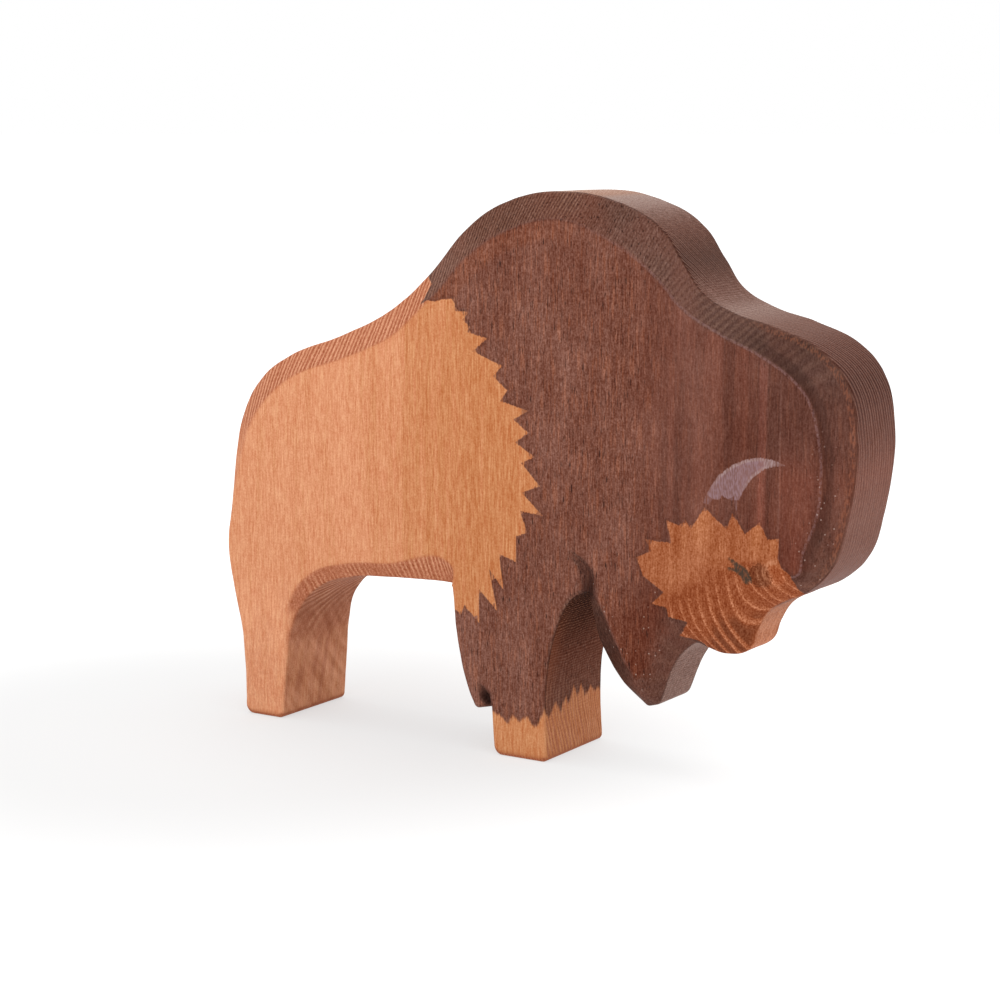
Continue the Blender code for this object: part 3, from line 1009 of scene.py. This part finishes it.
class Coat:
    """A colour built up in steps, each as strong as the product of its masks."""

    def __init__(self, board, factor, first, second):
        self.board = board
        self.colour = board.blend(factor, first, second)

    def cover(self, colour, *masks):
        """Brushes a colour over it."""
        self.colour = self.board.blend(self.board.product(*masks), self.colour, colour)

    def lift(self, *masks):
        """Makes it lighter by the same amount in each channel."""
        self.colour = self.board.vector("ADD", self.colour, self.board.product(*masks))

    def tint(self, amounts, *masks):
        """Adds an amount to each channel."""
        strength = self.board.product(*masks)
        self.colour = self.board.vector("MULTIPLY_ADD", strength, amounts, self.colour)

    def shade(self, tone):
        self.colour = self.board.shade(self.colour, tone)


def light_stain(board, ink):
    """The light stain of the rump, the fore foot and the snout."""
    x, z, ease, product, between = board.x, board.z, board.ease, board.product, board.between
    hair, thread, band, patch, grit = board.hair, board.thread, board.band, board.patch, board.grit
    snout, on_edge, latewood, lined = board.snout, board.on_edge, board.latewood, board.lined

    streaks = board.swings((thread, 0.9), (board.fibre(0.9, 24), 1.2), (band, 0.9))
    steps = x(-41, -35, 0, 0.32), x(-29.5, -27.8, 0, 0.32), x(-28, 0, 0, 0.46)
    coat = Coat(board, board.total(*steps, streaks), ink.rosy, ink.golden)
    coat.cover(ink.rust, snout)
    coat.lift(snout, board.swings((patch, 0.12), (band, 0.14)))
    coat.cover(ink.golden, snout, ease(band, 0.46, 0.64), z(48, 56), 0.3)
    # on the rump the fibres show less in the red channel
    long_grain = board.swings((thread, 0.3), (grit, 0.4), (board.strand, 0.55))
    tinted = board.vector("MULTIPLY", product(long_grain, 0.36), (0.72, 1.04, 1.0))
    coat.lift(board.blend(snout, tinted, product(board.grain, 0.4)))
    low_leg = product(z(40, 24), x(-50, -58))
    coat.cover(ink.soaked, low_leg, ease(patch, 0.36, 0.66), ease(hair, 0.4, 0.62, 0.3, 1), 0.24)
    coat.lift(low_leg, 0.03)
    coat.lift(z(16, 10), x(-30, -10), 0.03)
    coat.cover(ink.cream, ease(thread, 0.54, 0.7, 0, 0.2), between(snout, 1.0, 0.5))
    beaded = ease(grit, 0.34, 0.56, 0.45, 1)
    coat.cover(ink.copper, snout, latewood, beaded, z(57, 45), 0.45)

    # the grain's ends drink more of the stain, and their rings shed it
    belly = product(z(42, 38), ease(patch, 0.35, 0.6, 0.3, 0.8))
    striped = board.calc("POWER", between(belly, board.year_wave, 0.3), 1.3)
    striped = between(snout, striped, product(latewood, beaded))
    sunk = board.blend(snout, ink.soaked, ink.burnt)
    pale = board.blend(snout, ink.pale, ink.copper)
    ends = Coat(board, product(striped, lined), sunk, pale)
    ends.lift(board.grain, 0.42)
    far_in = ease(board.past_crease, 9, 15)
    ends.cover(BLACK, snout, far_in, ease(latewood, 0.3, 0), ease(patch, 0.36, 0.54), 0.24)
    flame = board.larger(board.year_wave, ease(band, 0.5, 0.62, 0, 0.6))
    flame = product(ease(patch, 0.4, 0.6, 0.6, 1), flame)
    edge_lines = product(on_edge, between(x(-40, -20), flame, board.fine_wave), lined, 0.85)
    soak = between(snout, board.soaked, ease(board.end_grain, 0, 0.16))
    soak = product(soak, board.inverse(product(on_edge, snout, 0.9)), 0.9)
    coat.cover(ends.colour, board.larger(soak, edge_lines))

    # the sawn inside of the rear leg: slanting arcs low down and year lines above
    inner_leg = product(on_edge, x(-24, -36), x(-70, -66), z(52, 44))
    slanting = board.put("ShaderNodeCombineXYZ", {
        "X": board.along, "Y": board.total(board.across, board.height),
        "Z": board.calc("SUBTRACT", board.height, board.across),
    }).outputs[0]
    coat.lift(inner_leg, z(30, 14, 0.4, 1), board.swing(board.fibre(3.2, 18, place=slanting), 0.28))
    coat.lift(inner_leg, z(22, 32), board.swing(board.year_wave, 0.14))
    return coat.colour


def dark_stain(board, ink):
    """The dark stain of the hump, the fore leg, the beard and the head."""
    x, z, ease, product, between = board.x, board.z, board.ease, board.product, board.between
    hair, thread, band, patch, grit = board.hair, board.thread, board.band, board.patch, board.grit
    on_edge, past_crease, lined, head = board.on_edge, board.past_crease, board.lined, board.head

    ruddy = Coat(board, ease(band, 0.3, 0.7, 0.28, 0.82), ink.umber, ink.ruddy)
    ruddy.cover(ink.umber, x(55, 60), z(66, 74), 0.8)
    coat = Coat(board, head, ink.brown, ruddy.colour)
    # darker at the head, the neck and the hump, lighter low on the fore leg, redder on the beard
    coat.lift(x(42, 66, 0, -0.05))
    coat.lift(x(22, 32), x(46, 38), -0.018)
    coat.lift(z(44, 32), x(10, 2), 0.018)
    coat.lift(z(92, 108), -0.015)
    coat.tint((-0.045, -0.06, -0.068), x(18, 26), z(44, 30))
    # a red band and a pale line down the forehead, and a redder brow
    forehead = product(z(98, 90), ease(past_crease, 0, -1))
    coat.tint((0.07, 0.04, 0.036), forehead, board.strip(board.along, 59.7, 1.3))
    coat.tint((0.03, 0.01, 0.006), forehead, x(63.5, 63.8), z(80, 66))
    coat.lift(forehead, board.strip(board.along, 63.6, 0.3), 0.05)
    # painted light: the top of the hump near the crease, where the light falls, made redder and lighter
    sunny = product(x(18, 2), z(92, 104), board.strip(past_crease, -2, 2.4), 0.17)
    redder = product(ease(thread, 0.5, 0.68), between(head, 0.3, 0.12))
    coat.cover(ink.ember, board.total(sunny, redder))
    coat.lift(board.swings((band, 0.07), (patch, 0.12)))

    # the grain's ends
    year_wave = between(product(board.snout, z(70, 85)), board.year_wave, board.fine_wave)
    side_rings = product(year_wave, between(board.snout, 0.9, z(50, 85, 0.22, 0.46)))
    rings = product(between(on_edge, side_rings, board.fine_wave), lined)
    ends = Coat(board, rings, ink.bistre, ink.ashen)
    red = board.larger(ease(patch, 0.4, 0.7, 0, 0.4), product(on_edge, x(60, 74, 0.4, 0.7)))
    ends.cover(ink.ruddy, red)
    ends.lift(on_edge, lined, x(22, 30), board.swing(board.fine_wave, 0.2))
    ends.lift(ease(board.border, 16, 1, 0, 0.02), x(-4, -12))
    off_edge = ease(board.past_arris, 0, -0.5)
    ends.lift(x(56, 66), off_edge, -0.03)
    ends.lift(z(110, 116), off_edge, -0.02)
    ends.tint((0.004, 0.022, 0.028), x(18, 26), z(82, 90), off_edge)
    coat.cover(ends.colour, board.larger(product(board.soaked, 0.9), on_edge))

    coat.lift(x(60, 68), z(96, 86), ease(past_crease, 0.5, 2.5), off_edge, 0.045)
    crisp = board.swings((thread, 0.22), (grit, 0.42), (hair, 0.4), (board.strand, 0.28))
    coat.lift(crisp, between(board.larger(head, product(board.soaked, 0.5)), 0.46, 0.26))
    coat.cover(BLACK, board.strip(board.border, 0.3, 0.5), 0.08)
    return coat.colour


def work_edges(board, coat, ink):
    """The tone of each worked edge with its painted shade and light, its painted sheen, its saw marks
    and a burnt tone over the lowest two millimetres of the feet.
    """
    x, z, ease, sawn = board.x, board.z, board.ease, board.sawn
    # painted shade and light: the tone of each landmark darkens the legs' insides and lightens the
    # muzzle's edge and the hump's top
    coat.shade(board.value_of("stain_tone"))
    # painted sheen: a grey painted reflection on edges seen at a grazing angle
    coat.cover(ink.dust_and_sheen, board.value_of("sheen"), ease(board.grit, 0.3, 0.6, 0.6, 1))
    torn = board.swing(board.cloud(board.place, 0.9, 1.0, 0.5, 1.0), 0.26, -0.02)
    coat.lift(sawn, x(26, 30), x(50, 46), torn)
    leg = board.product(sawn, board.dark, x(22, 18))
    saw_marks = board.value_of("saw_marks")
    coat.lift(board.swing(saw_marks, -0.1), sawn, board.between(leg, 1.0, 1.7))
    fresh = ease(board.latewood, 0.05, 0.5), ease(saw_marks, 0.7, 0.2), ease(sawn, 0.6, 0.95)
    coat.cover(ink.ashen, leg, *fresh, 0.9)
    coat.tint((0.03, -0.01, -0.034), leg)
    near_arris = ease(board.past_arris, 6, 0), ease(board.across, 0, -6)
    coat.cover(ink.ember, leg, *near_arris, z(36, 24), 0.4)
    coat.cover(ink.burnt, z(1.9, 0.4, 0, 0.45), ease(board.grit, 0.3, 0.6, 0.4, 1))


def paint_face(board, coat, ink):
    """Painted shade where the rim cut begins beside the eye, a pale ring between the eye and the brow,
    the horn and the eye.
    """
    x, z, ease, product, hair = board.x, board.z, board.ease, board.product, board.hair
    flattened = board.vector("MULTIPLY", board.place, (1.0, 0.0, 1.0))
    from_eye_shade, from_ring = (board.measure("DISTANCE", flattened, middle) for middle in (EYE_SHADE, RING))
    # painted shade: darker round the first middle, where the rim cut begins beside the eye
    coat.shade(ease(board.swing(board.grit, 2.0, from_eye_shade), 3.1, 2, 1, 0.8))
    coat.shade(ease(from_ring, 2.6, 1.9, 1, 1.06))
    ring = board.strip(board.swing(board.grit, 0.8, from_ring), 2.6, 0.7)
    within = ease(board.border, -0.4, -1), x(64.5, 61.5, 0.1, 0.5), z(45, 47, 0.3, 1)
    coat.cover(ink.pale, ring, ease(hair, 0.3, 0.5, 0.3, 1), *within)

    border = board.value_of("horn_border")
    horn = board.inverse(board.brushed(border, board.thread, 0.7, 0.15))
    rim = product(board.strip(border, -0.25, 0.5), z(62, 68), 0.35)
    coat.cover(board.blend(rim, ink.horn, ink.dust_and_sheen), horn, ease(hair, 0.36, 0.62, 0.95, 0.55))
    eye = board.inverse(board.brushed(board.value_of("eye_border"), board.grit, 0.7, 0.3))
    coat.cover(ink.eye, eye, ease(hair, 0.42, 0.68, 0.88, 0.45))


def wear_dust_and_painted_shade(board, coat, ink):
    """Wear along the crease, painted shade past the crease and along the arris, orange dots inside the
    arris, painted shadow in the knife cuts, and dust in the corners.
    """
    x, z, ease, product, strip = board.x, board.z, board.ease, board.product, board.strip
    dark, past_crease, past_arris = board.dark, board.past_crease, board.past_arris
    worn = product(dark, ease(board.fibre(0.5, 0.6), 0.4, 0.56, 0.2, 1), x(8, 60, 0.1, 0.4))
    coat.cover(ink.horn, strip(past_crease, 0, 0.4), board.value_of("creased"), worn)
    front = product(dark, x(50, 64), z(40, 55))
    # painted shade: a dark band just past the crease beside the eye
    coat.cover(BLACK, strip(past_crease, 1.5, 1.7), front, 0.22)
    coat.cover(ink.ember, strip(past_arris, -0.9, 0.9), front, ease(board.hair, 0.45, 0.6), 0.3)
    # painted shade: a dark line along the arris
    arris = board.blend(front, BLACK, ink.bistre)
    coat.cover(arris, strip(past_arris, 0, 0.3), dark, ease(board.grit, 0.36, 0.58, 0.06, 0.38))
    # painted shadow in and beside the knife cuts
    coat.cover(BLACK, board.carved, 0.75)
    specks = board.put("ShaderNodeTexVoronoi", {"Vector": board.place, "Scale": 0.75}).outputs
    dust = product(ease(specks["Distance"], 0.17, 0.1), ease(specks["Color"], 0.4, 0.42))
    corners = board.larger(strip(past_crease, 2, 5), product(board.carved, 2.0))
    coat.cover(ink.dust_and_sheen, dust, dark, x(8, 20), corners, z(90, 60), 0.55)


def new_material(name):
    material = bpy.data.materials.new(name)
    material.use_nodes = True
    material.node_tree.nodes.clear()
    return material, material.node_tree


def stained_wood(wood, stain):
    """Oiled wood with its rings, fibres and pores under a light and a dark stain.

    The colours are mixed as levels, the way they are read off a chart, and made linear at the end.
    """
    material, tree = new_material("stained_wood")
    board = Board(tree, wood)
    product = board.product
    ink = SimpleNamespace(**{name: level(getattr(stain, name)) for name in settings_of(stain)})
    coat = Coat(board, board.dark, light_stain(board, ink), dark_stain(board, ink))
    pore = board.ease(board.fibre(0.22, 2.6, 0.0), 0.7, 0.77)
    pore = product(pore, board.dark, board.between(board.head, 0.6, 0.25))
    coat.cover(BLACK, pore)
    work_edges(board, coat, ink)
    paint_face(board, coat, ink)
    wear_dust_and_painted_shade(board, coat, ink)
    colour = board.vector("MAXIMUM", coat.colour, (0.02, 0.02, 0.02))
    colour = board.put("ShaderNodeGamma", {"Color": colour, "Gamma": CHART_GAMMA}).outputs[0]

    height = board.total(board.grain, product(board.latewood, board.lined, 0.5), product(pore, -0.6))
    bump = board.put("ShaderNodeBump", {"Height": height, "Strength": 1.0, "Distance": wood.relief})
    roughness = board.swing(board.hair, 0.3, board.between(board.dark, 0.58, 0.55))
    roughness = board.between(product(board.sawn, board.x(22, 18)), roughness, 0.95)
    shader = board.put("ShaderNodeBsdfPrincipled", {
        "Base Color": colour, "Roughness": roughness, "Normal": bump.outputs[0],
        "Metallic": 0.0, "Specular IOR Level": 0.07,
    })
    board.put("ShaderNodeOutputMaterial", {"Surface": shader.outputs[0]})
    return material


# ---------------------------------------------------------------- operators

class WISENT_OT_body(bpy.types.Operator):
    """Carve the wisent's body from its outline and stain it"""

    bl_idname = "wisent.body"
    bl_label = "Carve Wisent"
    bl_options = {"REGISTER", "UNDO"}

    def execute(self, context):
        scene = context.scene
        points, faces, values = carve_body(scene.wisent_shape)
        body = bpy.data.objects.new(BODY, mesh_from(BODY, points, faces, values))
        scene.collection.objects.link(body)
        body.data.materials.append(stained_wood(scene.wisent_wood, scene.wisent_stain))
        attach(body, "root")
        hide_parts("wooden_wisent")
        return {"FINISHED"}


class WISENT_OT_studio(bpy.types.Operator):
    """Set up the floor, the soft lights and the camera"""

    bl_idname = "wisent.studio"
    bl_label = "Set Up Studio"
    bl_options = {"REGISTER", "UNDO"}

    def execute(self, context):
        scene = context.scene
        studio = scene.wisent_studio
        floor = self.floor(studio)
        scene.collection.objects.link(floor)
        self.softbox(scene, "softbox_above", studio.above, 0.9, (-0.10, 0.05, 0.95))
        self.softbox(scene, "softbox_front", studio.front, 0.7, (0.0, -0.95, 0.5))
        self.sky(scene, studio)
        self.camera(scene)
        scene.view_settings.view_transform = "Standard"
        return {"FINISHED"}

    @staticmethod
    def floor(studio):
        bm = bmesh.new()
        bmesh.ops.create_circle(bm, cap_ends=True, segments=96, radius=studio.floor_radius)
        mesh = bpy.data.meshes.new("studio_floor")
        bm.to_mesh(mesh)
        bm.free()
        material, tree = new_material("studio_floor")
        nodes = Nodes(tree)
        place = nodes.put("ShaderNodeTexCoord").outputs["Object"]
        # painted shadow: the floor glows less round a point beside the toy, in place of a shadow cast
        # there, and fully far from it
        away = nodes.measure("DISTANCE", place, (-0.07, -0.03, 0.0))
        glow = nodes.ease(away, 0.05, 0.2, studio.floor_glow, 1.0)
        shader = nodes.put("ShaderNodeBsdfPrincipled", {
            "Base Color": tuple(studio.floor), "Roughness": 0.9, "Specular IOR Level": 0.0,
            "Emission Color": nodes.shade((1.0, 1.0, 1.0), glow), "Emission Strength": 1.0,
        })
        nodes.put("ShaderNodeOutputMaterial", {"Surface": shader.outputs[0]})
        mesh.materials.append(material)
        return bpy.data.objects.new("studio_floor", mesh)

    @staticmethod
    def softbox(scene, name, power, size, place):
        light = bpy.data.lights.new(name, "AREA")
        light.energy = power
        light.size = size
        lamp = bpy.data.objects.new(name, light)
        lamp.location = place
        aim = Vector((0.0, 0.0, 0.06)) - Vector(place)
        lamp.rotation_euler = aim.to_track_quat("-Z", "Y").to_euler()
        scene.collection.objects.link(lamp)

    @staticmethod
    def sky(scene, studio):
        world = bpy.data.worlds.new("studio_sky")
        world.use_nodes = True
        world.node_tree.nodes.clear()
        nodes = Nodes(world.node_tree)
        white = (1.0, 1.0, 1.0, 1.0)
        lit, seen = (
            nodes.put("ShaderNodeBackground", {"Color": white, "Strength": strength}).outputs[0]
            for strength in (studio.sky, 1.0)
        )
        path = nodes.put("ShaderNodeLightPath").outputs["Is Camera Ray"]
        mixed = nodes.put("ShaderNodeMixShader", {0: path, 1: lit, 2: seen})
        nodes.put("ShaderNodeOutputWorld", {"Surface": mixed.outputs[0]})
        scene.world = world

    @staticmethod
    def camera(scene):
        data = bpy.data.cameras.new("camera")
        data.sensor_width = 36.0
        data.lens = 84.76
        data.clip_start = 0.01
        camera = bpy.data.objects.new("camera", data)
        camera.location = (0.2684, -0.4367, 0.1374)
        camera.rotation_euler = (math.radians(90 - 9.067), 0.0, math.radians(32.614))
        scene.collection.objects.link(camera)
        scene.camera = camera


class WISENT_PT_panel(bpy.types.Panel):
    """Wisent tools"""

    bl_idname = "WISENT_PT_panel"
    bl_label = "Wooden Wisent"
    bl_space_type = "VIEW_3D"
    bl_region_type = "UI"
    bl_category = "Wisent"

    def draw(self, context):
        scene = context.scene
        for title, group, operator in (
            ("Body", scene.wisent_shape, None),
            ("Wood", scene.wisent_wood, None),
            ("Stain", scene.wisent_stain, WISENT_OT_body.bl_idname),
            ("Studio", scene.wisent_studio, WISENT_OT_studio.bl_idname),
        ):
            box = self.layout.box()
            box.label(text=title)
            for name in settings_of(group):
                box.prop(group, name)
            if operator:
                box.operator(operator)


SETTINGS = {
    "wisent_shape": WisentShape,
    "wisent_wood": WisentWood,
    "wisent_stain": WisentStain,
    "wisent_studio": WisentStudio,
}
CLASSES = (*SETTINGS.values(), WISENT_OT_body, WISENT_OT_studio, WISENT_PT_panel)


def register():
    for cls in CLASSES:
        bpy.utils.register_class(cls)
    for name, group in SETTINGS.items():
        setattr(bpy.types.Scene, name, bpy.props.PointerProperty(type=group))


def unregister():
    for name in SETTINGS:
        delattr(bpy.types.Scene, name)
    for cls in reversed(CLASSES):
        bpy.utils.unregister_class(cls)


def main():
    register()
    bpy.ops.wisent.body()
    bpy.ops.wisent.studio()


if __name__ == "__main__":
    main()
